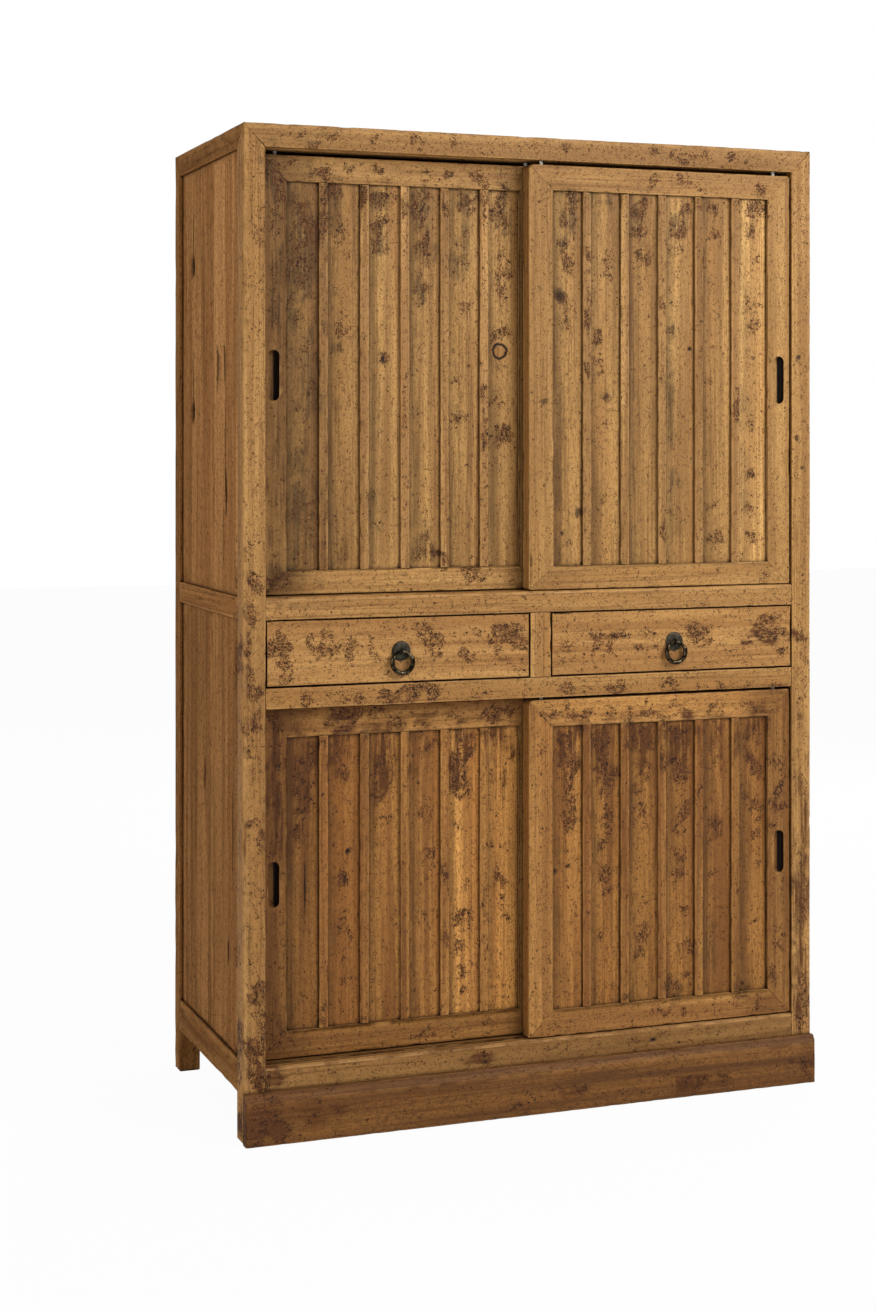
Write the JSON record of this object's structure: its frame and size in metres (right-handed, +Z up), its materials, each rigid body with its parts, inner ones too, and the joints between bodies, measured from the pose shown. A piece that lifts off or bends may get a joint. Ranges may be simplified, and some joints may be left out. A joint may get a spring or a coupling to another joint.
{
  "type": "kitchen cabinet",
  "caption": "Tall mizuya kitchen cabinet in waxed wood: sliding battened doors above and below a row of drawers with ring pulls, on post feet behind a bevelled plinth board.",
  "frame": {"origin": "centre of the outer box on the floor", "axes": "+X to the right seen from the front, +Y to the back, +Z up; the doors and drawers face -Y"},
  "size_m": [1.2, 0.56, 1.9],
  "materials": {
    "frame_wood": "waxed, worn and spotted",
    "door_wood": "waxed, worn and spotted",
    "batten_wood": "waxed and worn",
    "drawer_wood": "waxed, dark-spotted",
    "side_wood": "waxed",
    "panel_wood": "waxed, darker and redder",
    "plinth_wood": "waxed, dark",
    "inner_wood": "bare, aged",
    "aged_iron": "dark patina, rubbed bright on the high spots",
    "pin_nylon": "plain"
  },
  "bodies": {
    "cabinet": {"front_post_left": "frame_wood", "front_post_right": "frame_wood", "rear_post_left": "side_wood", "rear_post_right": "side_wood", "top_front_rail": "frame_wood", "top_back_rail": "side_wood", "top_side_rails": "side_wood", "top_boards": "panel_wood", "upper_mid_rail": "frame_wood", "lower_mid_rail": "frame_wood", "drawer_divider": "frame_wood", "sill_rail": "frame_wood", "plinth_board": "plinth_wood", "side_rails_left": "side_wood", "side_rails_right": "side_wood", "side_panels_left": "panel_wood", "side_panels_right": "panel_wood", "back_rails": "side_wood", "back_boards": "inner_wood", "door_jambs": "inner_wood", "upper_floor_boards": "inner_wood", "lower_floor_boards": "inner_wood", "drawer_dust_boards": "inner_wood", "shelves": "inner_wood", "shelf_bearers": "inner_wood", "drawer_runners": "inner_wood"},
    "upper_left_door": {"upper_left_door_stiles": "door_wood", "upper_left_door_rails": "door_wood", "upper_left_door_boards": "door_wood", "upper_left_door_battens": "batten_wood", "upper_left_door_guide_pins": "pin_nylon"},
    "upper_right_door": {"upper_right_door_stiles": "door_wood", "upper_right_door_rails": "door_wood", "upper_right_door_boards": "door_wood", "upper_right_door_battens": "batten_wood", "upper_right_door_guide_pins": "pin_nylon"},
    "lower_left_door": {"lower_left_door_stiles": "door_wood", "lower_left_door_rails": "door_wood", "lower_left_door_boards": "door_wood", "lower_left_door_battens": "batten_wood", "lower_left_door_guide_pins": "pin_nylon"},
    "lower_right_door": {"lower_right_door_stiles": "door_wood", "lower_right_door_rails": "door_wood", "lower_right_door_boards": "door_wood", "lower_right_door_battens": "batten_wood", "lower_right_door_guide_pins": "pin_nylon"},
    "left_drawer": {"left_drawer_front": "drawer_wood", "left_drawer_sides": "inner_wood", "left_drawer_back": "inner_wood", "left_drawer_bottom": "inner_wood", "left_drawer_pull_backplate": "aged_iron", "left_drawer_pull_staple": "aged_iron"},
    "left_pull_ring": {"left_drawer_pull_ring": "aged_iron"},
    "right_drawer": {"right_drawer_front": "drawer_wood", "right_drawer_sides": "inner_wood", "right_drawer_back": "inner_wood", "right_drawer_bottom": "inner_wood", "right_drawer_pull_backplate": "aged_iron", "right_drawer_pull_staple": "aged_iron"},
    "right_pull_ring": {"right_drawer_pull_ring": "aged_iron"}
  },
  "joints": [
    {"name": "upper_left_door_slide", "type": "slide", "parent": "cabinet", "child": "upper_left_door", "axis": [1, 0, 0], "range_m": [0, 0.532]},
    {"name": "upper_right_door_slide", "type": "slide", "parent": "cabinet", "child": "upper_right_door", "axis": [-1, 0, 0], "range_m": [0, 0.532]},
    {"name": "lower_left_door_slide", "type": "slide", "parent": "cabinet", "child": "lower_left_door", "axis": [1, 0, 0], "range_m": [0, 0.532]},
    {"name": "lower_right_door_slide", "type": "slide", "parent": "cabinet", "child": "lower_right_door", "axis": [-1, 0, 0], "range_m": [0, 0.532]},
    {"name": "left_drawer_slide", "type": "slide", "parent": "cabinet", "child": "left_drawer", "axis": [0, -1, 0], "range_m": [0, 0.35]},
    {"name": "left_ring_swing", "type": "hinge", "parent": "left_drawer", "child": "left_pull_ring", "pos_m": [-0.289, -0.268, 0.9067], "axis": [-1, 0, 0], "range_deg": [0, 170]},
    {"name": "right_drawer_slide", "type": "slide", "parent": "cabinet", "child": "right_drawer", "axis": [0, -1, 0], "range_m": [0, 0.35]},
    {"name": "right_ring_swing", "type": "hinge", "parent": "right_drawer", "child": "right_pull_ring", "pos_m": [0.289, -0.268, 0.9067], "axis": [-1, 0, 0], "range_deg": [0, 170]}
  ]
}
